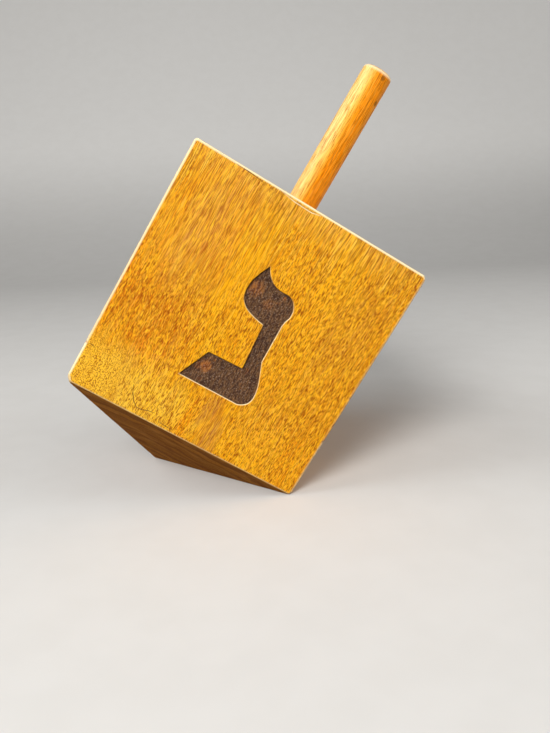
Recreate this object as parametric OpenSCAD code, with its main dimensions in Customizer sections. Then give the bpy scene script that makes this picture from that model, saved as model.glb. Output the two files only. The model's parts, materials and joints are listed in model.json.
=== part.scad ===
// A large wooden dreidel: a square block with a four-sided point, a dowel stem glued into its
// top, and one letter of the game sunk into each of its four sides. It lies on one face of its
// point, as it does once it has stopped spinning, and the block and stem lean with that face.

/* [Block] */
// Width of the block, across its sides
body_w = 97; // [70:1:140]
// Height of the square part of the block
body_h = 99; // [80:1:140]
// Height of the four-sided point below the square part
point_h = 31; // [15:0.5:60]
// Radius of the sanded edges, corners and tip
edge_r = 1; // [0.4:0.1:3]

/* [Stem] */
// Diameter of the stem
stem_d = 12.7; // [8:0.1:20]
// Length of the stem above the block
stem_l = 61.8; // [30:0.1:100]
// Radius of the sanded rim at the stem's end
rim_r = 2; // [0.5:0.1:3]
// Rise of the slightly domed end above its rim
crown_h = 0.6; // [0.2:0.1:2]

/* [Joint] */
// Width of the shoulder where the stem steps in to its tenon
shoulder = 0.35; // [0.2:0.05:1.5]
// Length of the tenon in the block
tenon_l = 25; // [10:0.5:40]
// Bevel on the tenon's end
tenon_bevel = 1; // [0.2:0.1:2]
// Gap for glue around the tenon
glue_gap = 0.1; // [0.05:0.01:0.3]
// Room for glue below the tenon
glue_room = 0.3; // [0.1:0.1:1]

/* [Letters] */
// Height of a letter
letter_h = 51; // [30:1:60]
// Depth to which the letters are burnt
letter_depth = 1; // [0.4:0.1:3]
// How far the letters sit below the middle of their sides
letter_drop = 1.7; // [0:0.1:5]

/* [Hidden] */

// How far every cut runs past the surface that it opens
overrun = 1;
// Facets of a rounded corner and of a round piece, and steps along a round stretch of an outline
corner_facets = 24;
round_facets = 64;
curve_steps = 8;
quarter_turn = 90;

half_w = body_w / 2;
top_z = point_h + body_h;
slant = norm([half_w, point_h]);
lean = atan2(point_h, half_w);
// The centroid of a triangle lies this share of its height away from each corner
centroid_share = 2 / 3;
stem_r = stem_d / 2;
tenon_r = stem_r - shoulder;
bore_r = tenon_r + glue_gap;
bore_depth = tenon_l + glue_room;
letter_foot = point_h + (body_h - letter_h) / 2 - letter_drop;

// Outlines of the letters, counter-clockwise. Each row is a corner, across and up from the middle
// of the letter's foot, as shares of the letter's height, and how far the stretch to the next
// corner swells outwards, as a share of that stretch's length.

// The flame-shaped head, from its tip down its left side, and up its right side to its tip
head_left_shares = [
  [-0.075, 1.00, 0.03], [-0.135, 0.855, 0.07], [-0.13, 0.73, 0.10], [-0.045, 0.65, 0.03],
  [0.095, 0.615, 0]
];
head_right_shares = [
  [0.215, 0.67, -0.06], [0.233, 0.745, 0.09], [0.217, 0.835, 0.14], [0.135, 0.888, -0.18]
];
// Nun: the head on a neck, with a slanted base to its left and a round heel
nun_shares = concat(
  head_left_shares,
  [
    [0.125, 0.255, 0], [-0.15, 0.245, 0], [-0.26, 0, 0], [0.225, 0, 0.21],
    [0.305, 0.12, 0.03], [0.28, 0.225, 0], [0.222, 0.37, 0]
  ],
  head_right_shares
);
// Gimel: the head on a neck that parts into two feet
gimel_shares = concat(
  head_left_shares,
  [
    [0.115, 0.31, 0], [-0.09, 0.225, 0], [-0.205, 0, 0], [-0.05, 0, 0],
    [0.03, 0.125, 0.08], [0.125, 0.165, 0], [0.13, 0, 0], [0.26, 0, 0], [0.235, 0.31, 0]
  ],
  head_right_shares
);
// Hei: a roof with a pointed left end, the right leg, and the short left leg below the roof
hei_roof_shares = [
  [-0.235, 1.00, 0.03], [-0.29, 0.875, 0.15], [-0.20, 0.765, 0.04], [0.115, 0.75, 0],
  [0.135, 0, 0], [0.27, 0, 0], [0.25, 0.80, 0.18], [0.15, 0.9, 0], [-0.10, 0.895, -0.16]
];
hei_leg_shares = [[-0.225, 0.60, 0], [-0.235, 0, 0], [-0.105, 0, 0], [-0.10, 0.635, 0]];
// Shin: three arms with smaller heads of the same form, which meet in one foot
small_left_shares = [
  [-0.05, 1.00, 0.03], [-0.105, 0.875, 0.08], [-0.095, 0.78, 0.12], [-0.02, 0.72, 0]
];
small_right_shares = [
  [0.09, 0.745, 0], [0.105, 0.805, 0.12], [0.075, 0.87, 0.10], [0.03, 0.885, -0.14]
];
arm_share = 0.3;
function beside(shares, across) = [for (row = shares) [row[0] + across, row[1], row[2]]];
shin_shares = concat(
  beside(small_left_shares, -arm_share),
  [[-0.305, 0.50, 0], [-0.225, 0, 0], [0.06, 0, 0.12], [0.33, 0.34, 0.05]],
  beside(small_right_shares, arm_share),
  beside(small_left_shares, arm_share),
  [[0.235, 0.44, 0.06], [0.085, 0.165, 0], [-0.045, 0.15, 0], [0.055, 0.36, 0.05]],
  small_right_shares,
  small_left_shares,
  [[-0.04, 0.43, 0.05], [-0.13, 0.275, 0]],
  beside(small_right_shares, -arm_share)
);

// Points from a up to b along a stretch that swells to its right by a share of its length
function swell(a, b, share) =
  let (along = b - a, out = [along.y, -along.x])
  share == 0 ? [a] : [
    for (i = [0 : curve_steps - 1])
      let (t = i / curve_steps) a + t * along + 4 * t * (1 - t) * share * out
  ];

// The points of an outline that is given in shares
function outline(shares) = [
  for (i = [0 : len(shares) - 1])
    let (here = shares[i], next = shares[(i + 1) % len(shares)])
    each swell([here[0], here[1]], [next[0], next[1]], here[2]) * letter_h
];

// Lays the upright dreidel on the right-hand face of its point, with that face's centroid at
// the origin
module lay_down() {
  translate([-centroid_share * slant, 0, 0]) rotate([0, lean, 0]) children();
}

// A ball for a rounded corner, larger by what its flat facets fall short of a true ball
module corner_ball() {
  sphere(r = edge_r / cos(2 * quarter_turn / corner_facets), $fn = corner_facets);
}

// The block with its point: a ball in each corner touches every face that meets there
module rounded_block() {
  ball_in = half_w - edge_r;
  point_ball_z = (edge_r * slant + point_h * ball_in) / half_w;
  tip_ball_z = edge_r * slant / half_w;
  hull() {
    for (x = [-ball_in, ball_in], y = [-ball_in, ball_in], z = [point_ball_z, top_z - edge_r])
      translate([x, y, z]) corner_ball();
    translate([0, 0, tip_ball_z]) corner_ball();
  }
}

// One outline as a cut into a side, which looks along -Y before it is turned about the spin axis
module letter_cut(shares, turn) {
  rotate([0, 0, turn])
    translate([0, letter_depth - half_w, letter_foot])
      rotate([quarter_turn, 0, 0])
        linear_extrude(letter_depth + overrun) polygon(outline(shares));
}

// The block, with its blind bore and a letter in each side, nun in front and the others in
// their order towards the left of it
module body() {
  color("#c8862c") lay_down() difference() {
    rounded_block();
    translate([0, 0, top_z - bore_depth])
      cylinder(r = bore_r, h = bore_depth + overrun, $fn = round_facets);
    letter_cut(nun_shares, 0);
    letter_cut(gimel_shares, -quarter_turn);
    letter_cut(hei_roof_shares, 2 * quarter_turn);
    letter_cut(hei_leg_shares, 2 * quarter_turn);
    letter_cut(shin_shares, quarter_turn);
  }
}

// The stem: a tenon with a bevelled end, a shoulder on the block's top, and a domed upper end
module stem() {
  rim_z = stem_l - crown_h - rim_r;
  rim_x = stem_r - rim_r;
  profile = concat(
    [
      [0, -tenon_l], [tenon_r - tenon_bevel, -tenon_l], [tenon_r, tenon_bevel - tenon_l],
      [tenon_r, 0], [stem_r, 0]
    ],
    [
      for (i = [0 : curve_steps])
        let (turn = quarter_turn * i / curve_steps)
          [rim_x + rim_r * cos(turn), rim_z + rim_r * sin(turn)]
    ],
    [
      for (i = [1 : curve_steps])
        let (t = i / curve_steps) [rim_x * (1 - t), stem_l - crown_h * pow(1 - t, 2)]
    ]
  );
  color("#d9923a") lay_down() translate([0, 0, top_z])
    rotate_extrude($fn = round_facets) polygon(profile);
}

body();
stem();
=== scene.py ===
import json
import math

import bpy
from bpy.props import FloatProperty, FloatVectorProperty, PointerProperty
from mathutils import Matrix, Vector, noise


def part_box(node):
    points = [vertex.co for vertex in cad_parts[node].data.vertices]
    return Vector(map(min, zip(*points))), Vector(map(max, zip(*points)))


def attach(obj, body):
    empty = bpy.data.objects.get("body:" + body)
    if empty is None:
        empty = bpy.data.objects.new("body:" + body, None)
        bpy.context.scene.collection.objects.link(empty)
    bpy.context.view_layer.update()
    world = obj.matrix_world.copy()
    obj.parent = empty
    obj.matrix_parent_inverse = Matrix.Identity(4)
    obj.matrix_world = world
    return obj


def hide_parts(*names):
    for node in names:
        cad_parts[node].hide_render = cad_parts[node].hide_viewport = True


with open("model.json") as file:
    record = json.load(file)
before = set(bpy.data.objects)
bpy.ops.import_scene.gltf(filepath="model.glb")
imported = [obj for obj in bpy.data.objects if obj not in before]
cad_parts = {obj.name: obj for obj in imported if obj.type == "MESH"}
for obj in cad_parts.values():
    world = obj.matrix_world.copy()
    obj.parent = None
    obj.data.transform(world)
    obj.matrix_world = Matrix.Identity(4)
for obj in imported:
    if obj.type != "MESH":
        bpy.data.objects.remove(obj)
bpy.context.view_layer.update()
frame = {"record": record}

bl_info = {
    "name": "Wooden Dreidel",
    "version": (1, 0, 0),
    "blender": (4, 5, 0),
    "location": "View3D > Sidebar > Dreidel",
    "description": "Models a large oiled hardwood dreidel that lies on one face of its point",
    "category": "Add Mesh",
}

MM = 0.001

# The block's width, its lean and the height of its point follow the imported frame: the stem's
# mount gives the direction of the spin axis and the height of the block's top
stem_mount = next(m for m in frame["record"]["mounts"] if m["name"] == "stem")
SPIN_AXIS = Vector(stem_mount["axis"])
LEAN = math.atan2(SPIN_AXIS.x, SPIN_AXIS.z)
BLOCK_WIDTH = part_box("body")[1].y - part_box("body")[0].y
HALF_WIDTH = BLOCK_WIDTH / 2
POINT_HEIGHT = HALF_WIDTH * math.tan(LEAN)
TIP = Vector((-2 / 3 * math.hypot(HALF_WIDTH, POINT_HEIGHT), 0, 0))
STEM_WALL = stem_mount["dims"]["length_mm"] * MM
BLOCK_TOP = (Vector(stem_mount["pos_m"]) - TIP).dot(SPIN_AXIS) - STEM_WALL / 2
STEM_RADIUS = stem_mount["dims"]["r_mm"] * MM

# Shares of a letter's height, counter-clockwise from the middle of its foot: across, up, and
# how far the stretch to the next corner swells outwards, as a share of that stretch
HEAD_LEFT = [
    (-0.075, 1.00, 0.03), (-0.135, 0.855, 0.07), (-0.13, 0.73, 0.10), (-0.045, 0.65, 0.03),
    (0.095, 0.615, 0),
]
HEAD_RIGHT = [
    (0.215, 0.67, -0.06), (0.233, 0.745, 0.09), (0.217, 0.835, 0.14), (0.135, 0.888, -0.18),
]
NUN = [
    *HEAD_LEFT,
    (0.125, 0.255, 0), (-0.15, 0.245, 0), (-0.26, 0, 0), (0.225, 0, 0.21),
    (0.305, 0.12, 0.03), (0.28, 0.225, 0), (0.222, 0.37, 0),
    *HEAD_RIGHT,
]
GIMEL = [
    *HEAD_LEFT,
    (0.115, 0.31, 0), (-0.09, 0.225, 0), (-0.205, 0, 0), (-0.05, 0, 0), (0.03, 0.125, 0.08),
    (0.125, 0.165, 0), (0.13, 0, 0), (0.26, 0, 0), (0.235, 0.31, 0),
    *HEAD_RIGHT,
]
HEI_ROOF = [
    (-0.235, 1.00, 0.03), (-0.29, 0.875, 0.15), (-0.20, 0.765, 0.04), (0.115, 0.75, 0),
    (0.135, 0, 0), (0.27, 0, 0), (0.25, 0.80, 0.18), (0.15, 0.9, 0), (-0.10, 0.895, -0.16),
]
HEI_LEG = [(-0.225, 0.60, 0), (-0.235, 0, 0), (-0.105, 0, 0), (-0.10, 0.635, 0)]
FLAME_LEFT = [
    (-0.05, 1.00, 0.03), (-0.105, 0.875, 0.08), (-0.095, 0.78, 0.12), (-0.02, 0.72, 0),
]
FLAME_RIGHT = [
    (0.09, 0.745, 0), (0.105, 0.805, 0.12), (0.075, 0.87, 0.10), (0.03, 0.885, -0.14),
]
ARM = 0.3


def beside(rows, across):
    """The same corners, moved across by a share of the letter's height."""
    return [(row[0] + across, row[1], row[2]) for row in rows]


SHIN = [
    *beside(FLAME_LEFT, -ARM),
    (-0.305, 0.50, 0), (-0.225, 0, 0), (0.06, 0, 0.12), (0.33, 0.34, 0.05),
    *beside(FLAME_RIGHT, ARM),
    *beside(FLAME_LEFT, ARM),
    (0.235, 0.44, 0.06), (0.085, 0.165, 0), (-0.045, 0.15, 0), (0.055, 0.36, 0.05),
    *FLAME_RIGHT,
    *FLAME_LEFT,
    (-0.04, 0.43, 0.05), (-0.13, 0.275, 0),
    *beside(FLAME_RIGHT, -ARM),
]
# Each side's letter and that side's turn about the spin axis, from the front to its left
LETTERS = [([NUN], 0), ([GIMEL], -90), ([HEI_ROOF, HEI_LEG], 180), ([SHIN], 90)]

# Corners that handling has worn round: across, deep and up as signs, and the radius in millimetres
WORN_CORNERS = [
    ((-1, -1, -1), 3.4), ((-1, -1, 1), 1.6), ((1, -1, 1), 1.8), ((1, -1, -1), 1.8),
    ((-1, 1, 1), 2.4), ((1, 1, 1), 2.8), ((-1, 1, -1), 2.6), ((1, 1, -1), 2.0),
]
# Direction of the flat that takes off a worn corner: how far it leans to the front or back
FLAT_LEAN = 0.3
# In millimetres: how far a letter's cutter runs out past the side, the radius of a letter's rim,
# the distance between the beam's lines and between the breaks along them, and the floor's relief
CUTTER_OVERRUN = 2
LETTER_RIM = 0.34
BEAM_LINE, BEAM_BREAK = 0.35, 1.1
FLOOR_RELIEF, FLOOR_LIFT = 0.05, 0.03

# Depth of the wood's open pores, and of the roughness that the laser leaves, in millimetres
PORE_DEPTH = 0.15
BURNT_RELIEF = 0.12
# Places in the front letter that the beam went over lightly, in millimetres, with their reach and
# how much wood still shows there
MISSED_SPOTS = [
    ((-6.1, -47.5, 60.5), 3.4, 1.0), ((-4.5, -47.5, 95), 4.5, 0.6), ((2.5, -47.5, 92), 3.0, 0.35),
]


def hex_colour(code):
    """An sRGB hex value as Blender's linear colour."""
    parts = [int(code[place : place + 2], 16) / 255 for place in (1, 3, 5)]
    return [p / 12.92 if p <= 0.04045 else ((p + 0.055) / 1.055) ** 2.4 for p in parts] + [1]


def add_node(tree, kind, inputs=(), give=None, stops=(), **settings):
    """Adds a shader node with its settings and colour stops, gives its inputs values or links,
    by name or in the order that the node shows them, and returns one of its outputs."""
    made = tree.nodes.new("ShaderNode" + kind)
    for name, value in settings.items():
        setattr(made, name, value)
    for count, (place, tone) in enumerate(stops):
        elements = made.color_ramp.elements
        element = elements[count] if count < len(elements) else elements.new(place)
        element.position, element.color = place, hex_colour(tone)
    if isinstance(inputs, dict):
        pairs = [(made.inputs[name], value) for name, value in inputs.items()]
    else:
        pairs = zip([socket for socket in made.inputs if socket.enabled], inputs)
    for socket, value in pairs:
        if isinstance(value, bpy.types.NodeSocket):
            tree.links.new(value, socket)
        else:
            socket.default_value = hex_colour(value) if isinstance(value, str) else value
    return made.outputs[give] if give else next((s for s in made.outputs if s.enabled), None)


def new_material(name):
    """An empty node material and its tree."""
    material = bpy.data.materials.new(name)
    material.use_nodes = True
    material.node_tree.nodes.clear()
    return material, material.node_tree


def upright_place(tree):
    """The place in the wood in millimetres, upright, with the spin axis on Z and the tip at 0."""
    back = Vector((-TIP.x * math.cos(LEAN), 0, -TIP.x * math.sin(LEAN))) / MM
    return add_node(tree, "Mapping", {
        "Vector": add_node(tree, "TexCoord", give="Object"),
        "Location": back, "Rotation": (0, -LEAN, 0), "Scale": (1 / MM,) * 3,
    })


def grain_mask(tree, grain, size, low, high, detail=2.0, shift=0.0):
    """Irregular marks of a size in millimetres, across, deep and along the grain. The mask goes
    from 0 to 1 as the noise goes from low to high, and the shift gives other marks."""
    place = add_node(tree, "Mapping", {
        "Vector": grain, "Location": (shift,) * 3, "Scale": [1 / reach for reach in size],
    })
    marks = add_node(tree, "TexNoise", {
        "Vector": place, "Scale": 1, "Detail": detail, "Roughness": 0.6,
    })
    return add_node(tree, "MapRange", [marks, low, high], interpolation_type="SMOOTHSTEP")


def near_mask(tree, grain, middle, reach, ragged, strength):
    """A soft cloud about a place in the wood, full at three quarters of its reach and gone at
    1.6 times, with a border that the ragged mask draws in by up to 0.7 of the reach."""
    squeezed = add_node(tree, "VectorMath", [grain, reach], operation="DIVIDE")
    centre = [place / size for place, size in zip(middle, reach)]
    away = add_node(tree, "VectorMath", [squeezed, centre], "Value", operation="DISTANCE")
    away = add_node(tree, "Math", [ragged, 0.7, away], operation="MULTIPLY_ADD")
    return add_node(
        tree, "MapRange", [away, 0.75, 1.6, strength, 0], interpolation_type="SMOOTHSTEP"
    )


def clouds_mask(tree, grain, clouds, ragged):
    """Where the wood lies in any of the clouds, which are given by middle and reach."""
    mask = 0.0
    for middle, reach in clouds:
        cloud = near_mask(tree, grain, middle, reach, ragged, 1)
        mask = add_node(tree, "Math", [cloud, mask], operation="MAXIMUM")
    return mask


def tinted(tree, colour, tone, mask, strength=1.0):
    """Lays a tone over a colour where the mask shows."""
    share = add_node(tree, "Math", [mask, strength], operation="MULTIPLY")
    return add_node(tree, "Mix", [share, colour, tone], data_type="RGBA")


def hardwood(name, look, wear_and_highlight_colour):
    """Open-pored tropical hardwood, sanded and oiled: broad warm stripes along the grain, under
    a dense rain of short dark pores and bright flecks, and brown end grain with curved rings.
    The pores are drawn at about their real width of a quarter of a millimetre."""
    material, tree = new_material(name)
    place = upright_place(tree)
    # The grain wanders from side to side as it rises
    drift = add_node(tree, "Mapping", {
        "Vector": place, "Scale": [1 / size for size in look["drift_size"]],
    })
    drift = add_node(tree, "TexNoise", {"Vector": drift, "Scale": 1}, "Color")
    drift = add_node(tree, "VectorMath", [drift, (0.5, 0.5, 0.5)], operation="SUBTRACT")
    grain = add_node(
        tree, "VectorMath", [drift, look["drift"], place], operation="MULTIPLY_ADD"
    )
    height = add_node(tree, "SeparateXYZ", [place], "Z")

    # Broad stripes of interlocked grain, at a slant through the wood; on the stem they are painted
    # light, a pale highlight on its left and a paler rim light on its right
    across = add_node(
        tree, "VectorMath", [grain, look["stripe_direction"]], "Value", operation="DOT_PRODUCT"
    )
    colour = add_node(tree, "MapRange", [across, *look["stripe_span"]])
    colour = add_node(tree, "ValToRGB", [colour], stops=look["stripes"])
    # Figure: soft clouds, each with its own tone, most of them where the grain turns
    ragged = grain_mask(tree, grain, (2.5, 2.5, 14), 0.2, 0.8, 4)
    for middle, reach, tone, strength in look["figure"]:
        cloud = near_mask(tree, grain, middle, reach, ragged, strength)
        colour = tinted(tree, colour, tone, cloud)
    for size, low, high, tone, strength, shift in look["blotches"]:
        mask = grain_mask(tree, grain, size, low, high, 3, shift)
        colour = tinted(tree, colour, tone, mask, strength)

    # Around a knot the fibres run out through the side, and their cut ends show as round dots.
    # Where the grain lies straight, they show as long lines instead
    knot = clouds_mask(tree, grain, look["knots"], ragged)
    straight = clouds_mask(tree, grain, look["straight"], ragged)
    colour = tinted(tree, colour, look["knot_colour"], knot, 0.6)
    plain = add_node(
        tree, "MapRange", [height, *look["fibre_rise"], *look["fibre"]],
        interpolation_type="SMOOTHSTEP",
    )
    for size, low, high, tone, shift in look["fibres"]:
        mask = grain_mask(tree, grain, size, low, high, 1, shift)
        colour = tinted(tree, colour, tone, mask, plain)
    for sizes, low, high, tone, strength, shift in look["flecks"]:
        dash, line, dot = [
            grain_mask(tree, grain, size, low, high, 1, shift) for size in sizes
        ]
        line = add_node(tree, "Math", [line, look["line_strength"]], operation="MULTIPLY")
        pores = add_node(tree, "Mix", [straight, dash, line])
        pores = add_node(tree, "Mix", [knot, pores, dot])
        colour = tinted(tree, colour, tone, pores, strength)

    # End grain drinks more oil: browner, with the growth rings as arcs. It shows on all that
    # faces more along the spin axis than across it
    normal = add_node(tree, "TexCoord", give="Normal")
    along = add_node(tree, "VectorMath", [normal, SPIN_AXIS], "Value", operation="DOT_PRODUCT")
    along = add_node(tree, "Math", [along], operation="ABSOLUTE")
    end = add_node(tree, "MapRange", [along, 0.35, 0.85], interpolation_type="SMOOTHSTEP")
    flat = add_node(tree, "VectorMath", [grain, (1, 1, 0)], operation="MULTIPLY")
    ring = add_node(tree, "VectorMath", [flat, look["pith"]], "Value", operation="DISTANCE")
    ring = add_node(tree, "Math", [ring, look["ring"]], operation="DIVIDE")
    warp = grain_mask(tree, grain, look["warp_size"], 0.2, 0.8, 3, 3)
    ring = add_node(tree, "Math", [warp, look["warp"], ring], operation="MULTIPLY_ADD")
    rings = add_node(
        tree, "TexNoise", {"W": ring, "Scale": 1, "Detail": 4, "Roughness": 0.65},
        noise_dimensions="1D",
    )
    rings = add_node(tree, "MapRange", [rings, 0.22, 0.78], interpolation_type="SMOOTHSTEP")
    browned = tinted(tree, look["end_light"], look["end_dark"], rings)
    end_pores = grain_mask(tree, grain, (0.4, 0.4, 0.6), 0.52, 0.66, 1, 7)
    browned = tinted(tree, browned, look["end_pore"], end_pores, 0.55)
    pale = grain_mask(tree, grain, (14, 5, 14), 0.48, 0.68, 2, 11)
    browned = tinted(tree, browned, look["end_pale"], pale, 0.5)
    colour = tinted(tree, colour, browned, end)

    # Arrises and rims rubbed down to pale dry wood, and brighter still as a painted highlight where
    # they face up and to the left
    wear_and_highlight = add_node(tree, "Attribute", give="Fac", attribute_name="wear_and_highlight")
    colour = tinted(tree, colour, list(wear_and_highlight_colour), wear_and_highlight)

    # The oil leaves the open pores and the end grain duller than the sanded fibres
    relief = add_node(tree, "Math", [1, pores], operation="SUBTRACT")
    bump = add_node(
        tree, "Bump", {"Height": relief, "Strength": look["bump"], "Distance": PORE_DEPTH * MM}
    )
    rough = add_node(
        tree, "MapRange", [pores, 0, 1, look["roughness"], look["roughness"] + 0.2]
    )
    rough = add_node(tree, "Mix", [end, rough, 0.8])
    shader = add_node(tree, "BsdfPrincipled", {
        "Base Color": colour, "Roughness": rough, "Normal": bump,
        "Specular IOR Level": look["gloss"],
    })
    add_node(tree, "OutputMaterial", {"Surface": shader})
    return material


def burnt_wood(burnt_colour):
    """Hardwood burnt out by a laser: a dull brown-black floor hatched with the beam's fine grey
    lines, and rusty patches that it missed. Its walls carry painted light: pale towards the rim
    where they face up and left, as a painted highlight, and near black where they face down, as
    painted shade. A laser's lines are about 0.1 mm apart, and are drawn three times as coarse, so
    that they show."""
    material, tree = new_material("Laser-burnt hardwood")
    place = upright_place(tree)
    patch = grain_mask(tree, place, (5, 5, 6), 0.62, 0.75, 3, 3)
    for spot, reach, strength in MISSED_SPOTS:
        away = add_node(tree, "VectorMath", [place, spot], "Value", operation="DISTANCE")
        missed = add_node(
            tree, "MapRange", [away, 0.2 * reach, reach, strength, 0],
            interpolation_type="SMOOTHSTEP",
        )
        patch = add_node(tree, "Math", [patch, missed], operation="MAXIMUM")
    colour = tinted(tree, list(burnt_colour), "#763a12", patch, 0.8)
    lines = grain_mask(tree, place, (0.34, 0.34, 2.2), 0.46, 0.62, 1)
    colour = tinted(tree, colour, "#7e5732", lines, 0.75)
    cross = grain_mask(tree, place, (0.7, 0.7, 0.34), 0.56, 0.68, 1)
    colour = tinted(tree, colour, "#b2957c", cross, 0.60)
    rusty = add_node(tree, "Math", [patch, lines], operation="MULTIPLY")
    colour = tinted(tree, colour, "#cf8030", rusty, 0.75)

    # Depth below the nearest side
    split = add_node(tree, "VectorMath", [place], operation="ABSOLUTE")
    out = add_node(tree, "Math", [
        add_node(tree, "SeparateXYZ", [split], "X"), add_node(tree, "SeparateXYZ", [split], "Y"),
    ], operation="MAXIMUM")
    depth = add_node(tree, "Math", [HALF_WIDTH / MM, out], operation="SUBTRACT")
    rim = add_node(tree, "MapRange", [depth, 0.65, 0.25], interpolation_type="SMOOTHSTEP")
    # Painted light on the walls: those that face up and left are painted pale near the rim as a
    # highlight, and those under the upper rims, facing down, are painted near black as shade
    normal = add_node(tree, "TexCoord", give="Normal")
    facing_light = add_node(
        tree, "VectorMath", [normal, (-0.3, 0, 0.95)], "Value", operation="DOT_PRODUCT"
    )
    lit_walls = add_node(tree, "MapRange", [facing_light, -0.1, 0.4])
    rim = add_node(tree, "Math", [rim, lit_walls], operation="MULTIPLY")
    colour = tinted(tree, colour, "#d09c60", rim, 0.9)
    # Painted shade: near black on the walls that face down, under the upper rims
    shaded_walls = add_node(tree, "MapRange", [facing_light, -0.1, -0.5])
    colour = tinted(tree, colour, "#150c08", shaded_walls, 0.7)

    relief = add_node(tree, "Math", [lines, cross], operation="ADD")
    bump = add_node(
        tree, "Bump", {"Height": relief, "Strength": 0.5, "Distance": BURNT_RELIEF * MM}
    )
    shader = add_node(tree, "BsdfPrincipled", {
        "Base Color": colour, "Roughness": 0.8, "Normal": bump, "Specular IOR Level": 0.3,
    })
    add_node(tree, "OutputMaterial", {"Surface": shader})
    return material


def cracked_wood():
    """The inside of a fine crack in oiled hardwood, painted dark brown as its shade, and lighter
    brown where dust has settled.
    """
    material, tree = new_material("Shaded dusty crack in hardwood")
    dust = grain_mask(tree, upright_place(tree), (1.4, 1.4, 1.4), 0.35, 0.65)
    colour = tinted(tree, "#5c3208", "#8a5418", dust)
    shader = add_node(tree, "BsdfPrincipled", {"Base Color": colour, "Roughness": 0.85})
    add_node(tree, "OutputMaterial", {"Surface": shader})
    return material


def pick(piece, kind, test):
    """Leaves the piece in edit mode with only the faces, edges or points that pass the test."""
    bpy.ops.object.mode_set(mode="EDIT")
    bpy.ops.mesh.select_mode(type=kind)
    bpy.ops.mesh.select_all(action="DESELECT")
    bpy.ops.object.mode_set(mode="OBJECT")
    mesh = piece.data
    rows = {"FACE": mesh.polygons, "EDGE": mesh.edges, "VERT": mesh.vertices}[kind]
    for row in rows:
        row.select = test(row)
    bpy.ops.object.mode_set(mode="EDIT")


def edge_faces(mesh):
    """The faces on either side of each edge."""
    beside_edge = [[] for _ in mesh.edges]
    for face in mesh.polygons:
        for loop in face.loop_indices:
            beside_edge[mesh.loops[loop].edge_index].append(face)
    return beside_edge


def apply_modifier(piece, kind, **settings):
    """Adds a modifier to the piece and applies it."""
    modifier = piece.modifiers.new(kind.title(), kind)
    for name, value in settings.items():
        setattr(modifier, name, value)
    bpy.context.view_layer.objects.active = piece
    bpy.ops.object.modifier_apply(modifier=modifier.name)


def cut_away(piece, cutter):
    """Takes the cutter's shape and its materials into the piece."""
    apply_modifier(
        piece, "BOOLEAN", operation="DIFFERENCE", solver="EXACT", object=cutter,
        material_mode="TRANSFER",
    )
    bpy.data.objects.remove(cutter)


def select_only(piece):
    """Selects the piece alone and makes it the active one."""
    bpy.ops.object.select_all(action="DESELECT")
    piece.select_set(True)
    bpy.context.view_layer.objects.active = piece


def finish_normals(piece, angle):
    """Smooth shading across small angles, with the large flat faces kept flat."""
    select_only(piece)
    bpy.ops.object.shade_smooth_by_angle(angle=angle)
    apply_modifier(piece, "WEIGHTED_NORMAL", mode="FACE_AREA", weight=50, keep_sharp=True)


def lay_down(piece):
    """Turns an upright piece to its rest on the right face of the point."""
    select_only(piece)
    piece.rotation_euler = (0, LEAN, 0)
    piece.location = TIP
    bpy.ops.object.transform_apply(location=True, rotation=True, scale=True)


def burn_floor(cutter):
    """Cuts the cutter's inner face along the beam's lines, and roughens it as the beam did."""
    # A temporary second material marks the faces of the floor
    burn = bpy.data.materials.new("floor")
    cutter.data.materials.append(burn)
    for face in cutter.data.polygons:
        face.material_index = 1 if face.normal.z < -0.9 else 0
    low, high = [
        Vector([pick_end(v.co[axis] for v in cutter.data.vertices) for axis in range(3)])
        for pick_end in (min, max)
    ]
    bpy.ops.object.mode_set(mode="EDIT")
    bpy.ops.mesh.select_mode(type="FACE")
    for axis, gap in ((0, BEAM_LINE * MM), (1, BEAM_BREAK * MM)):
        direction = [0, 0, 0]
        direction[axis] = 1
        for count in range(1, int((high[axis] - low[axis]) / gap)):
            bpy.ops.mesh.select_all(action="DESELECT")
            cutter.active_material_index = 1
            bpy.ops.object.material_slot_select()
            place = [0, 0, 0]
            place[axis] = low[axis] + count * gap
            bpy.ops.mesh.bisect(plane_co=place, plane_no=direction)
    bpy.ops.object.mode_set(mode="OBJECT")
    floor = min(v.co.z for v in cutter.data.vertices)
    for point in cutter.data.vertices:
        if point.co.z < floor + 0.01 * MM:
            x, y = point.co.x / MM, point.co.y / MM
            # Ridges along the grain, 6 mm long, and pits of about a millimetre
            ridges = noise.noise((x / 0.8, y / 6, 3))
            pits = noise.noise((x / 0.9, y / 1.2, 9))
            point.co.z += (ridges * FLOOR_RELIEF + pits * FLOOR_RELIEF + FLOOR_LIFT) * MM
    for face in cutter.data.polygons:
        face.material_index = 0
    cutter.data.materials.pop(index=1)
    bpy.data.materials.remove(burn)


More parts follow.
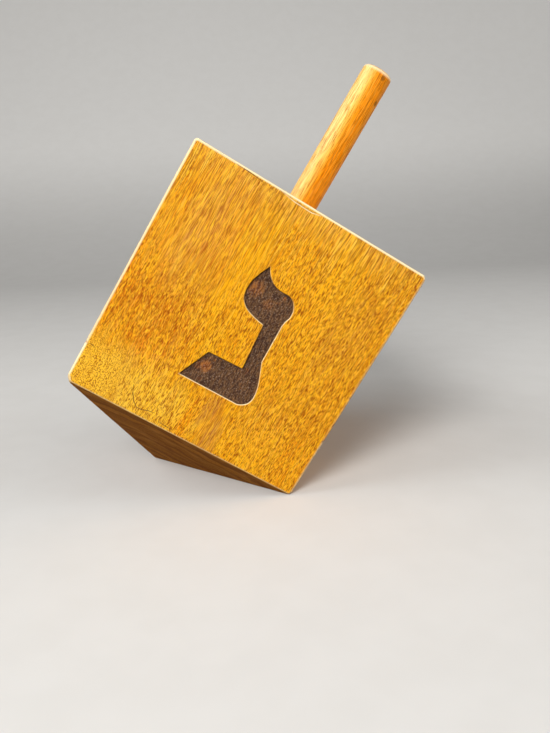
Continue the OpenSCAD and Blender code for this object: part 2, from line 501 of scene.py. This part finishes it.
def outline_cutter(outline, sizes, turn, burnt):
    """One outline as a cutter that stands on the letter's floor and runs out past the side."""
    size = sizes.letter_height
    thick = sizes.letter_depth + CUTTER_OVERRUN * MM
    bpy.ops.object.select_all(action="DESELECT")
    bpy.ops.curve.primitive_bezier_curve_add()
    cutter = bpy.context.object
    curve = cutter.data
    curve.dimensions, curve.fill_mode = "2D", "BOTH"
    curve.resolution_u = 8
    curve.extrude = thick / 2
    spline = curve.splines[0]
    spline.use_cyclic_u = True
    spline.bezier_points.add(len(outline) - len(spline.bezier_points))
    corners = [Vector((row[0] * size, row[1] * size, 0)) for row in outline]
    for place, row in enumerate(outline):
        here, after = corners[place], corners[(place + 1) % len(outline)]
        along = after - here
        bulge = here + along / 2 + 2 * row[2] * Vector((along.y, -along.x, 0))
        point = spline.bezier_points[place]
        following = spline.bezier_points[(place + 1) % len(outline)]
        point.co = here
        point.handle_right_type = following.handle_left_type = "FREE"
        point.handle_right = here + (bulge - here) * 2 / 3
        following.handle_left = after + (bulge - after) * 2 / 3
    bpy.ops.object.convert(target="MESH")
    cutter = bpy.context.object
    cutter.data.materials.append(burnt)
    bpy.ops.object.mode_set(mode="EDIT")
    bpy.ops.mesh.select_all(action="SELECT")
    bpy.ops.mesh.remove_doubles(threshold=0.001 * MM)
    bpy.ops.mesh.normals_make_consistent(inside=False)
    bpy.ops.object.mode_set(mode="OBJECT")
    burn_floor(cutter)
    foot = (BLOCK_TOP + POINT_HEIGHT - size) / 2 - sizes.letter_drop
    cutter.rotation_euler = (math.pi / 2, 0, 0)
    cutter.location = (0, sizes.letter_depth - HALF_WIDTH - thick / 2, foot)
    bpy.ops.object.transform_apply(location=True, rotation=True, scale=True)
    cutter.rotation_euler = (0, 0, math.radians(turn))
    bpy.ops.object.transform_apply(location=True, rotation=True, scale=True)
    return cutter


def groove_cutter(path, radius, material):
    """A thin round cutter that follows a path on the front, half sunk into it."""
    bpy.ops.object.select_all(action="DESELECT")
    bpy.ops.curve.primitive_nurbs_path_add()
    cutter = bpy.context.object
    curve = cutter.data
    curve.splines.clear()
    spline = curve.splines.new("POLY")
    spline.points.add(len(path) - 1)
    for point, (across, up) in zip(spline.points, path):
        point.co = (across * MM, -HALF_WIDTH, up * MM, 1)
    spline.points[0].radius = spline.points[-1].radius = 0.4
    curve.bevel_depth, curve.bevel_resolution, curve.use_fill_caps = radius, 1, True
    bpy.ops.object.convert(target="MESH")
    cutter = bpy.context.object
    cutter.data.materials.append(material)
    return cutter


def soften_rims(block, burnt):
    """Rounds the rims of the letters a little, in bare wood."""
    slot = list(block.data.materials).index(burnt)
    rims = {
        edge.index for edge, faces in zip(block.data.edges, edge_faces(block.data))
        if {face.material_index == slot for face in faces} == {True, False}
    }
    pick(block, "EDGE", lambda edge: edge.index in rims)
    bpy.ops.mesh.bevel(offset=LETTER_RIM * MM, segments=3, affect="EDGES", material=0)
    bpy.ops.object.mode_set(mode="OBJECT")


class BlockSettings(bpy.types.PropertyGroup):
    """Sizes and colours of the block"""

    edge_radius: FloatProperty(
        name="Edge Radius", description="Radius of the sanded arrises", default=1.05 * MM,
        min=0.4 * MM, max=3 * MM, unit="LENGTH",
    )
    letter_height: FloatProperty(
        name="Letter Height", description="Height of a letter", default=51 * MM,
        min=30 * MM, max=60 * MM, unit="LENGTH",
    )
    letter_depth: FloatProperty(
        name="Letter Depth", description="Depth to which the letters are burnt",
        default=1 * MM, min=0.4 * MM, max=3 * MM, unit="LENGTH",
    )
    letter_drop: FloatProperty(
        name="Letter Drop", description="How far the letters sit below the middle of a side",
        default=1.7 * MM, min=0, max=5 * MM, unit="LENGTH",
    )
    bore_depth: FloatProperty(
        name="Bore Depth", description="Depth of the blind bore for the stem",
        default=25.3 * MM, min=10 * MM, max=40 * MM, unit="LENGTH",
    )
    # Pale rubbed wood, also used as the painted highlight on arrises and letter rims
    wear_and_highlight_colour: FloatVectorProperty(
        name="Worn Colour", description="Colour of the rubbed arrises and letter rims",
        subtype="COLOR", size=4, default=hex_colour("#f8e6b8"), min=0, max=1,
    )
    burnt_colour: FloatVectorProperty(
        name="Burnt Colour", description="Colour of the burnt letters between the beam's lines",
        subtype="COLOR", size=4, default=hex_colour("#3c2211"), min=0, max=1,
    )


class StemSettings(bpy.types.PropertyGroup):
    """Sizes and colour of the stem"""

    length: FloatProperty(
        name="Length", description="Length of the stem above the block", default=61.8 * MM,
        min=30 * MM, max=100 * MM, unit="LENGTH",
    )
    rim_radius: FloatProperty(
        name="Rim Radius", description="Radius of the sanded rim at the end", default=2 * MM,
        min=0.5 * MM, max=3 * MM, unit="LENGTH",
    )
    crown: FloatProperty(
        name="Crown", description="Rise of the domed end above its rim", default=0.6 * MM,
        min=0.2 * MM, max=2 * MM, unit="LENGTH",
    )
    tenon_length: FloatProperty(
        name="Tenon Length", description="Length of the tenon in the block", default=25 * MM,
        min=10 * MM, max=40 * MM, unit="LENGTH",
    )
    tenon_bevel: FloatProperty(
        name="Tenon Bevel", description="Bevel on the tenon's end", default=1 * MM,
        min=0.2 * MM, max=2 * MM, unit="LENGTH",
    )
    shoulder: FloatProperty(
        name="Shoulder", description="Width of the step from the stem to its tenon",
        default=0.35 * MM, min=0.2 * MM, max=1.5 * MM, unit="LENGTH",
    )
    # Pale rubbed wood, and the painted highlight along the rim at the stem's end
    wear_and_highlight_colour: FloatVectorProperty(
        name="Worn Colour", description="Colour of the rubbed rim at the stem's end",
        subtype="COLOR", size=4, default=hex_colour("#f8e6b8"), min=0, max=1,
    )


class StudioSettings(bpy.types.PropertyGroup):
    """The floor's colour and the powers of the lights"""

    backdrop: FloatVectorProperty(
        name="Backdrop", description="Colour of the floor and backdrop", subtype="COLOR",
        size=4, default=hex_colour("#d2d0cc"), min=0, max=1,
    )
    key_power: FloatProperty(
        name="Key Power", description="Power of the large front light", default=6.4, min=0,
        max=100, unit="POWER",
    )
    side_power: FloatProperty(
        name="Side Power", description="Power of the light at the upper left", default=2.2,
        min=0, max=100, unit="POWER",
    )
    right_power: FloatProperty(
        name="Right Power", description="Power of the low light on the right", default=2.5,
        min=0, max=100, unit="POWER",
    )


# The two pieces' wood. Places and sizes are in millimetres in the upright dreidel, across, deep
# and up from its tip, and each shift picks other marks from the same noise
BLOCK_LOOK = {
    # Over what sizes and how far the grain wanders
    "drift_size": (30, 30, 75), "drift": (5, 5, 0),
    # The way across the stripes, where the first and the last one lie, and each one's place
    # between those two with its tone
    "stripe_direction": (1, 0.35, 0), "stripe_span": (-67, 67),
    "stripes": [
        (0.0, "#f29c0c"), (0.08, "#f49e16"), (0.16, "#e4922a"), (0.23, "#ec9a22"),
        (0.29, "#ffb200"), (0.36, "#f59f05"), (0.56, "#faaa14"), (0.64, "#e69419"),
        (0.70, "#e89616"), (0.80, "#f8a40a"), (0.90, "#e4921e"), (1.0, "#f4a20e"),
    ],
    # Middle (across, deep, up), reach, tone and strength of each cloud of figure
    "figure": [
        ((-49, -48, 74), (6, 22, 26), "#f58000", 0.95),
        ((-30, -48, 64), (9, 26, 13), "#ee8000", 0.90),
        ((-30, -48, 102), (8, 26, 26), "#dd9640", 0.85),
        ((-13, -48, 88), (6, 26, 30), "#ffae00", 0.85),
        # The pale band along the top of the front makes it lighter there, and so does the pale
        # cloud low on its left
        ((0, -48, 131), (60, 30, 10), "#ffbc4c", 0.75),
        ((34, -48, 96), (9, 26, 20), "#d98c22", 0.80),
        ((20, -48, 112), (7, 26, 16), "#ffb414", 0.80),
        ((42, -48, 42), (8, 26, 12), "#fb9600", 0.80),
        ((24, -48, 54), (9, 26, 14), "#ea9a28", 0.70),
        ((30, -48, 40), (13, 26, 13), "#ffb01c", 0.65),
        ((-30, -48, 69), (18, 26, 14), "#d06c04", 0.85),
        ((-25, -48, 88), (8, 26, 15), "#cf7c18", 0.80),
        ((-24, -48, 39), (32, 20, 13), "#ffd048", 0.90),
        ((4, -48, 47), (4, 20, 9), "#c47a38", 1.0),
        ((8.5, -48, 36), (4.5, 20, 10), "#c47a38", 1.0),
        ((-2.5, -48, 38), (3, 20, 12), "#fa9400", 0.90),
        ((24, 48, 60), (14, 26, 30), "#e08c12", 0.75),
        ((-28, 48, 96), (12, 26, 26), "#dc9030", 0.80),
        ((6, 48, 100), (8, 26, 30), "#ffb81c", 0.70),
        ((-48, 22, 66), (26, 11, 36), "#dd9238", 0.80),
        ((-48, -14, 110), (26, 8, 30), "#ffb010", 0.80),
        ((-48, -30, 50), (20, 10, 20), "#e88204", 0.75),
        ((48, 14, 58), (26, 12, 32), "#dc8c24", 0.80),
        ((48, -20, 100), (26, 9, 34), "#ffb414", 0.80),
        ((48, 34, 112), (26, 9, 24), "#dd9640", 0.80),
    ],
    # Size, the noise from and to, tone, strength and shift of each kind of blotch in the oil
    "blotches": [
        ((2.4, 2.4, 18), 0.48, 0.66, "#dd8410", 0.45, 0),
        ((2.4, 2.4, 18), 0.48, 0.66, "#ffb814", 0.45, 5),
        ((1.0, 1.0, 16), 0.50, 0.62, "#cc7408", 0.32, 4),
        ((1.0, 1.0, 16), 0.50, 0.62, "#ffbc24", 0.32, 7),
    ],
    # Middle and reach of each cloud of round dots and of long lines, and the lines' strength
    "knots": [((-42, -48.5, 40), (15, 15, 15))], "knot_colour": "#ffc83c",
    "straight": [
        ((-26, -48.5, 108), (26, 70, 26)), ((7, -48.5, 38), (5.5, 20, 14)),
        ((10, -48.5, 128), (30, 20, 9)), ((-48.5, 16, 78), (24, 24, 54)),
        ((48.5, -4, 100), (24, 26, 40)), ((-14, 48.5, 84), (26, 24, 56)),
    ],
    "line_strength": 0.75,
    # Long fine lines: size, from and to, tone and shift, plainest near the block's top
    "fibre_rise": (104, 124), "fibre": (0.38, 0.80),
    "fibres": [
        ((0.38, 0.38, 20), 0.52, 0.60, "#ffcc50", 0),
        ((0.38, 0.38, 20), 0.52, 0.60, "#965006", 6),
    ],
    # Sizes of a dash, a line and a dot, from and to, tone, strength and shift
    "flecks": [
        (((0.22, 0.22, 1.9), (0.25, 0.25, 4.4), (0.28, 0.28, 0.52)),
         0.50, 0.59, "#ffc424", 0.80, 0),
        (((0.22, 0.22, 1.9), (0.25, 0.25, 4.4), (0.28, 0.28, 0.50)),
         0.51, 0.60, "#963f00", 0.88, 9),
    ],
    # The middle and the width of the growth rings, and how far and over what size they wander
    "pith": (8, 95, 0), "ring": 4.2, "warp": 1.5, "warp_size": (26, 26, 26),
    "end_light": "#c27c2a", "end_dark": "#824814", "end_pore": "#532c06",
    "end_pale": "#d08a3e",
    "bump": 0.35, "roughness": 0.42, "gloss": 0.10,
}
STEM_LOOK = {
    **BLOCK_LOOK,
    "drift_size": (8, 8, 60), "drift": (1.2, 1.2, 0),
    "stripe_direction": (0.9, 0.4, 0), "stripe_span": (-8, 8),
    # Across the stem the stripes are painted light: pale yellow on its left as a painted highlight,
    # deep orange in the middle, and paler orange on its right as a painted rim light
    "stripes": [
        (0.0, "#ffd486"), (0.12, "#ffe094"), (0.17, "#ffdc84"), (0.22, "#ffc458"),
        (0.30, "#fca01c"), (0.36, "#fa9008"), (0.62, "#ff9408"), (0.74, "#ffa44c"),
        (1.0, "#ffb878"),
    ],
    "figure": [
        ((2.2, -6, 188.4), (0.9, 3, 1.3), "#7c3c04", 1.0),
        ((5.2, -3.4, 179.2), (0.8, 3, 1.2), "#7c3c04", 1.0),
    ],
    "blotches": [
        ((1.2, 1.2, 22), 0.50, 0.66, "#dc7600", 0.40, 0),
        ((1.2, 1.2, 22), 0.50, 0.66, "#ffb030", 0.30, 5),
    ],
    "knots": [], "straight": [((0, 0, 160), (50, 50, 50))], "line_strength": 1,
    "fibre": (0.40, 0.40),
    "fibres": [
        ((0.45, 0.45, 26), 0.52, 0.61, "#ffb43c", 0),
        ((0.42, 0.42, 26), 0.52, 0.61, "#a05808", 6),
    ],
    "flecks": [
        (((0.34, 0.34, 2.6), (0.34, 0.34, 6), (0.4, 0.4, 0.8)),
         0.52, 0.66, "#ffbc50", 0.30, 0),
        (((0.34, 0.34, 2.6), (0.30, 0.30, 5), (0.4, 0.4, 0.8)),
         0.53, 0.64, "#96540a", 0.60, 9),
    ],
    "end_light": "#dca050", "end_dark": "#b87830", "end_pore": "#7a4818",
    "roughness": 0.50, "gloss": 0.04,
}

# Fine cracks in the front, as across and up in millimetres from the tip, and torn slivers that
# the sanding left pale, with a painted highlight where they face up
CRACKS = [
    [(-47.4, 47.3), (-46.2, 47.5), (-44.3, 47.0)],
    [(-25.8, 41.5), (-24.6, 38.4), (-23.0, 35.8), (-20.8, 34.0), (-18.6, 34.1), (-16.4, 34.9),
     (-13.7, 35.2)],
    [(-33.0, 129.3), (-26.0, 129.1), (-20.5, 128.6)],
    [(-11.3, 32.9), (-8.0, 32.6), (-4.5, 32.5)],
]
SLIVERS = [[(-13.5, 129.2), (-8.0, 128.5), (-1.0, 128.3), (2.7, 128.9)]]
# Radius of the groove that a crack and a sliver leave
CRACK_RADIUS, SLIVER_RADIUS = 0.16, 0.30
# Dents in the front arrises: across, up, and their depth, with the length of the square bar that
# would leave them, its width as a multiple of that depth, and its slant in radians
DENTS = [(-48.5, 47.2, 0.95), (48.5, 56.3, 0.75)]
DENT_LENGTH, DENT_WIDTH, DENT_SLANT = 6, 1.4, 0.3
# How much narrower than the stem the bore is: the stem's shoulder less the gap for glue
BORE_STEP = 0.25
# Depth at which the pale rubbed wood and its painted highlight show in full, how far an arris
# reaches from the farther of its two faces, and the depth to which a letter's rim takes its
# painted highlight
PALE_EDGE_DEPTH, ARRIS_REACH, RIM_REACH = 0.08, 4, 0.5


def wear_corner(signs, radius):
    """Takes off a corner of the block with a flat that touches a ball in that corner."""
    across, deep, up = signs
    inner = HALF_WIDTH - radius
    cap, height = Vector((0, 0, 1)), BLOCK_TOP - radius
    if up < 0:
        slope = math.sin(LEAN)
        cap = Vector((across * slope, deep * slope, -2 * math.cos(LEAN))).normalized()
        height = radius / math.cos(LEAN) + POINT_HEIGHT * inner / HALF_WIDTH
    outward = (Vector((across, deep * FLAT_LEAN, 0)) + cap).normalized()
    ball = Vector((across * inner, deep * inner, height))
    bpy.ops.mesh.select_all(action="SELECT")
    bpy.ops.mesh.bisect(
        plane_co=ball + outward * radius, plane_no=outward, use_fill=True, clear_outer=True,
    )


def mark_wear_and_highlight(block):
    """Marks how far each point of an arris or rim lies inside the sharp block, for its paler rubbed
    wood. Those that face up and to the left are painted paler still, as a painted highlight."""
    lift, lean = math.cos(LEAN), math.sin(LEAN)
    # The direction, up and to the left, from which the painted highlight on arrises and rims falls
    rubbed = Vector((-0.6, 0, 0.8))
    wear_and_highlight = block.data.attributes.new("wear_and_highlight", "FLOAT", "POINT")
    for point in block.data.vertices:
        x, y, z = abs(point.co.x), abs(point.co.y), point.co.z
        inside = sorted([
            HALF_WIDTH - x, HALF_WIDTH - y, BLOCK_TOP - z,
            z * lift - x * lean, z * lift - y * lean,
        ])
        depth, arris = inside[0] / MM, inside[1] / MM
        facing_light = point.normal.dot(rubbed)
        mark = min(1, max(0, depth) / PALE_EDGE_DEPTH)
        # Every arris is rubbed pale, brighter as a painted highlight where it faces up and left; a
        # letter's rim is painted pale only where it faces more or less up and left, as a painted
        # highlight
        if arris < ARRIS_REACH:
            mark *= 0.62 + 0.6 * facing_light
        else:
            mark *= max(0, 0.35 + facing_light) if depth < RIM_REACH else 0
        wear_and_highlight.data[point.index].value = mark


def mark_stem_rim_wear_and_highlight(stem, sizes):
    """Marks the middle of the rounded rim at the stem's end for the same pale colour: pale rubbed
    wood, with a painted highlight along the rim.
    """
    wear_and_highlight = stem.data.attributes.new("wear_and_highlight", "FLOAT", "POINT")
    middle = BLOCK_TOP + sizes.length - 0.75 * sizes.rim_radius
    for point in stem.data.vertices:
        away = abs(middle - point.co.z) / sizes.rim_radius
        wear_and_highlight.data[point.index].value = max(0, 0.8 - 1.6 * away)


class DreidelBlock(bpy.types.Operator):
    """Models the square block with its point, its burnt letters and its blind bore"""

    bl_idname = "mesh.dreidel_block"
    bl_label = "Block"

    def execute(self, context):
        sizes = context.scene.dreidel_block
        tall = BLOCK_TOP - POINT_HEIGHT
        bpy.ops.object.select_all(action="DESELECT")
        bpy.ops.mesh.primitive_cube_add(
            size=1, location=(0, 0, POINT_HEIGHT + tall / 2), scale=(BLOCK_WIDTH, BLOCK_WIDTH, tall)
        )
        block = context.object
        block.name = block.data.name = "block"
        bpy.ops.object.transform_apply(location=True, rotation=True, scale=True)
        pick(block, "FACE", lambda face: face.normal.z < -0.9)
        bpy.ops.mesh.extrude_region_move(
            TRANSFORM_OT_translate={"value": (0, 0, -POINT_HEIGHT)}
        )
        bpy.ops.mesh.merge(type="CENTER")
        for signs, radius in WORN_CORNERS:
            wear_corner(signs, radius * MM)
        bpy.ops.object.mode_set(mode="OBJECT")

        # For the same radius a blunt arris takes a narrower bevel. A short one takes what fits it
        weight = block.data.attributes.new("bevel_weight_edge", "FLOAT", "EDGE")
        for edge, faces in zip(block.data.edges, edge_faces(block.data)):
            bend = faces[0].normal.angle(faces[1].normal)
            ends = [block.data.vertices[v].co for v in edge.vertices]
            room = 0.35 * (ends[0] - ends[1]).length / sizes.edge_radius
            rounder = 2.5 if room < 1 else 1
            weight.data[edge.index].value = min(1, room, rounder * math.tan(bend / 2))
        apply_modifier(
            block, "BEVEL", limit_method="WEIGHT", width=sizes.edge_radius, segments=5,
            use_clamp_overlap=False,
        )
        wood = hardwood("Oiled open-pored hardwood", BLOCK_LOOK, sizes.wear_and_highlight_colour)
        block.data.materials.append(wood)

        burnt = burnt_wood(sizes.burnt_colour)
        for outlines, turn in LETTERS:
            for outline in outlines:
                cut_away(block, outline_cutter(outline, sizes, turn, burnt))
        soften_rims(block, burnt)
        for across, up, deep in DENTS:
            width = deep * DENT_WIDTH * MM
            bpy.ops.object.select_all(action="DESELECT")
            bpy.ops.mesh.primitive_cube_add(
                size=1, location=(across * MM, -HALF_WIDTH, up * MM),
                rotation=(0, math.pi / 4, DENT_SLANT), scale=(width, DENT_LENGTH * MM, width),
            )
            dent = context.object
            bpy.ops.object.transform_apply(location=True, rotation=True, scale=True)
            dent.data.materials.append(wood)
            cut_away(block, dent)
        # The cracks' dark brown is painted shade
        crack = cracked_wood()
        for path in CRACKS:
            cut_away(block, groove_cutter(path, CRACK_RADIUS * MM, crack))
        for path in SLIVERS:
            cut_away(block, groove_cutter(path, SLIVER_RADIUS * MM, wood))

        bpy.ops.object.select_all(action="DESELECT")
        bore_top = 2 * MM
        bpy.ops.mesh.primitive_cylinder_add(
            vertices=64, radius=STEM_RADIUS - BORE_STEP * MM, depth=sizes.bore_depth + bore_top,
            location=(0, 0, BLOCK_TOP + bore_top / 2 - sizes.bore_depth / 2),
        )
        bore = context.object
        bpy.ops.object.transform_apply(location=True, rotation=True, scale=True)
        cut_away(block, bore)

        mark_wear_and_highlight(block)
        lay_down(block)
        finish_normals(block, math.radians(35))
        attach(block, "root")
        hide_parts("body")
        return {"FINISHED"}


class DreidelStem(bpy.types.Operator):
    """Models the round stem with its domed end and its tenon"""

    bl_idname = "mesh.dreidel_stem"
    bl_label = "Stem"

    def execute(self, context):
        sizes = context.scene.dreidel_stem
        straight = sizes.length - sizes.crown
        bpy.ops.object.select_all(action="DESELECT")
        bpy.ops.mesh.primitive_cylinder_add(
            vertices=96, radius=STEM_RADIUS, depth=straight,
            location=(0, 0, BLOCK_TOP + straight / 2),
        )
        stem = context.object
        stem.name = stem.data.name = "dowel"
        bpy.ops.object.transform_apply(location=True, rotation=True, scale=True)
        # Rim and crown
        pick(stem, "FACE", lambda face: face.normal.z > 0.9)
        bpy.ops.mesh.region_to_loop()
        bpy.ops.mesh.bevel(offset=sizes.rim_radius, segments=8, affect="EDGES")
        pick(stem, "FACE", lambda face: face.normal.z > 0.999)
        flat = STEM_RADIUS - sizes.rim_radius
        rings = 5
        rises = [sizes.crown * (ring / rings) * (2 - ring / rings) for ring in range(rings)]
        for before, after in zip(rises, rises[1:]):
            bpy.ops.mesh.inset(thickness=flat / rings, depth=0)
            bpy.ops.transform.translate(value=(0, 0, after - before))
        # Shoulder and tenon
        pick(stem, "FACE", lambda face: face.normal.z < -0.9)
        bpy.ops.mesh.inset(thickness=sizes.shoulder, depth=0)
        bevel = sizes.tenon_bevel
        bpy.ops.mesh.extrude_region_move(
            TRANSFORM_OT_translate={"value": (0, 0, bevel - sizes.tenon_length)}
        )
        bpy.ops.mesh.extrude_region_move(TRANSFORM_OT_translate={"value": (0, 0, -bevel)})
        tenon = STEM_RADIUS - sizes.shoulder
        bpy.ops.transform.resize(value=((tenon - bevel) / tenon,) * 2 + (1,))
        bpy.ops.object.mode_set(mode="OBJECT")
        wood = hardwood("Oiled hardwood dowel", STEM_LOOK, sizes.wear_and_highlight_colour)
        stem.data.materials.append(wood)
        mark_stem_rim_wear_and_highlight(stem, sizes)
        lay_down(stem)
        finish_normals(stem, math.radians(40))
        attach(stem, "root")
        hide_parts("stem")
        return {"FINISHED"}


def backdrop_paint(colour):
    """Matt paper on a seamless sweep, which throws as little light back as a dark table. Its
    fibres are too fine to show, so faint clouds of 20 mm stand for them."""
    material, tree = new_material("Matt backdrop paper")
    seen = 0.0
    for ray in ("Is Camera Ray", "Is Glossy Ray", "Is Transmission Ray"):
        path = add_node(tree, "LightPath", give=ray)
        seen = add_node(tree, "Math", [path, seen], operation="MAXIMUM")
    place = add_node(tree, "TexCoord", give="Object")
    fibres = grain_mask(tree, place, (0.02,) * 3, 0.3, 0.7)
    paper = tinted(tree, list(colour), "#ffffff", fibres, 0.04)
    shade = add_node(tree, "Mix", [seen, "#5c5650", paper], data_type="RGBA")
    # The sweep shows paler as it rises, without more light on the object
    height = add_node(tree, "SeparateXYZ", [place], "Z")
    glow = add_node(
        tree, "MapRange", [height, 0, 0.2, 0, 0.3], interpolation_type="SMOOTHSTEP"
    )
    glow = add_node(tree, "Math", [glow, seen], operation="MULTIPLY")
    shader = add_node(tree, "BsdfPrincipled", {
        "Base Color": shade, "Roughness": 0.9, "Specular IOR Level": 0.1,
        "Emission Color": list(colour), "Emission Strength": glow,
    })
    add_node(tree, "OutputMaterial", {"Surface": shader})
    return material


# Floor and backdrop in metres: width, depth, the floor's middle, the height of the wall behind
# and the radius of the sweep between the two
FLOOR_WIDTH, FLOOR_DEPTH, FLOOR_MIDDLE = 5, 3.4, -0.3
WALL_HEIGHT, SWEEP = 3, 0.8
# Where the lights aim, in metres, and how wide they throw
AIM = (0.005, 0, 0.07)
LIGHT_SPREAD = math.radians(120)
# The photograph's camera: its place in millimetres, its turn in degrees, and its focal length and
# the height of the frame in pixels
CAMERA_PLACE, CAMERA_TURN = (-0.6, -305.1, 121.21), (75.07, 2.106, -4.029)
FOCAL_LENGTH, FRAME_HEIGHT = 710.8, 733


class DreidelStudio(bpy.types.Operator):
    """Sets up the pale floor and backdrop, the soft lights and the camera"""

    bl_idname = "scene.dreidel_studio"
    bl_label = "Studio"

    def execute(self, context):
        look = context.scene.dreidel_studio
        bpy.ops.object.select_all(action="DESELECT")
        bpy.ops.mesh.primitive_plane_add(size=1)
        floor = context.object
        floor.name = floor.data.name = "floor"
        floor.scale = (FLOOR_WIDTH, FLOOR_DEPTH, 1)
        floor.location = (0, FLOOR_MIDDLE, 0)
        bpy.ops.object.transform_apply(location=True, rotation=True, scale=True)
        pick(floor, "EDGE", lambda edge: all(
            floor.data.vertices[v].co.y > 0 for v in edge.vertices
        ))
        bpy.ops.mesh.extrude_region_move(TRANSFORM_OT_translate={"value": (0, 0, WALL_HEIGHT)})
        pick(floor, "EDGE", lambda edge: all(
            floor.data.vertices[v].co.y > 0 and floor.data.vertices[v].co.z < WALL_HEIGHT / 2
            for v in edge.vertices
        ))
        bpy.ops.mesh.bevel(offset=SWEEP, segments=24, affect="EDGES")
        bpy.ops.object.mode_set(mode="OBJECT")
        bpy.ops.object.shade_smooth()
        floor.data.materials.append(backdrop_paint(look.backdrop))

        world = bpy.data.worlds.new("Studio")
        context.scene.world = world
        world.use_nodes = True
        tree = world.node_tree
        tree.nodes.clear()
        seen = add_node(tree, "LightPath", give="Is Camera Ray")
        # The world shows paler than it lights, so that the object keeps soft shadows
        glow = add_node(tree, "Mix", [seen, 0.34, 0.8])
        sky = add_node(tree, "Background", ["#ffffff", glow])
        add_node(tree, "OutputWorld", {"Surface": sky})

        # Broad soft lights, each with its place and size in metres and its power
        for name, place, size, power in (
            ("Front light", Vector((-0.40, -0.95, 0.72)), 0.5, look.key_power),
            ("Side light", Vector((-0.95, -0.20, 0.95)), 0.6, look.side_power),
            ("Right light", Vector((1.05, -0.15, 0.30)), 0.5, look.right_power),
        ):
            bpy.ops.object.light_add(type="AREA", location=place)
            light = context.object
            light.name = light.data.name = name
            light.data.size = size
            light.data.energy = power
            light.data.spread = LIGHT_SPREAD
            light.rotation_euler = (Vector(AIM) - place).to_track_quat("-Z", "Y").to_euler()

        bpy.ops.object.camera_add(
            location=Vector(CAMERA_PLACE) * MM,
            rotation=[math.radians(turn) for turn in CAMERA_TURN],
        )
        camera = context.object
        camera.data.lens = FOCAL_LENGTH / FRAME_HEIGHT * camera.data.sensor_width
        camera.data.clip_start, camera.data.clip_end = 0.01, 20
        context.scene.camera = camera
        context.scene.view_settings.view_transform = "Standard"
        return {"FINISHED"}


class DreidelPanel(bpy.types.Panel):
    """Lists the pieces and the studio, each with its settings"""

    bl_idname = "VIEW3D_PT_dreidel"
    bl_label = "Dreidel"
    bl_space_type = "VIEW_3D"
    bl_region_type = "UI"
    bl_category = "Dreidel"

    def draw(self, context):
        for operator, settings in (
            ("mesh.dreidel_block", context.scene.dreidel_block),
            ("mesh.dreidel_stem", context.scene.dreidel_stem),
            ("scene.dreidel_studio", context.scene.dreidel_studio),
        ):
            box = self.layout.box()
            box.operator(operator)
            for name in settings.bl_rna.properties.keys():
                if name not in ("rna_type", "name"):
                    box.prop(settings, name)


CLASSES = (
    BlockSettings, StemSettings, StudioSettings, DreidelBlock, DreidelStem, DreidelStudio,
    DreidelPanel,
)


def register():
    for item in CLASSES:
        bpy.utils.register_class(item)
    bpy.types.Scene.dreidel_block = PointerProperty(type=BlockSettings)
    bpy.types.Scene.dreidel_stem = PointerProperty(type=StemSettings)
    bpy.types.Scene.dreidel_studio = PointerProperty(type=StudioSettings)


def unregister():
    del bpy.types.Scene.dreidel_studio
    del bpy.types.Scene.dreidel_stem
    del bpy.types.Scene.dreidel_block
    for item in reversed(CLASSES):
        bpy.utils.unregister_class(item)


def main():
    register()
    bpy.ops.mesh.dreidel_block()
    bpy.ops.mesh.dreidel_stem()
    bpy.ops.scene.dreidel_studio()


if __name__ == "__main__":
    main()
